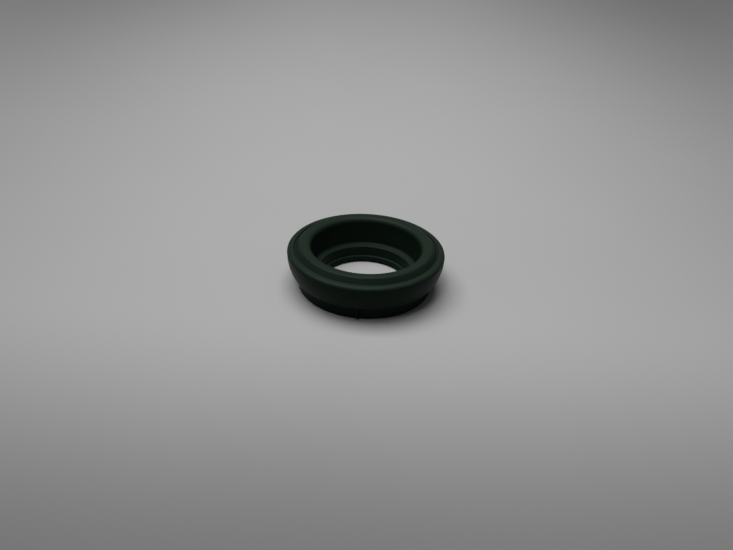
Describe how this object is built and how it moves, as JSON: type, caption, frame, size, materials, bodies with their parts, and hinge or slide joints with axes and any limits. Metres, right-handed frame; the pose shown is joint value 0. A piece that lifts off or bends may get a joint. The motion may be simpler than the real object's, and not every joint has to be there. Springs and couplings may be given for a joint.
{
  "type": "valve stem seal",
  "caption": "Round rubber stem seal: a flanged ring with a beaded rim, a deep cup and a stepped sealing lip round a through bore.",
  "frame": {"origin": "on the ring's axis, in the plane that the base stands on", "axes": "+Z along the bore's axis, from the base towards the mouth of the cup; the ring is the same all round, so +X is free"},
  "size_m": [0.0144, 0.0144, 0.0041],
  "materials": {
    "green_rubber": "satin moulded rubber, dark green"
  },
  "bodies": {
    "root": {"seal_ring": "green_rubber"}
  },
  "joints": []
}
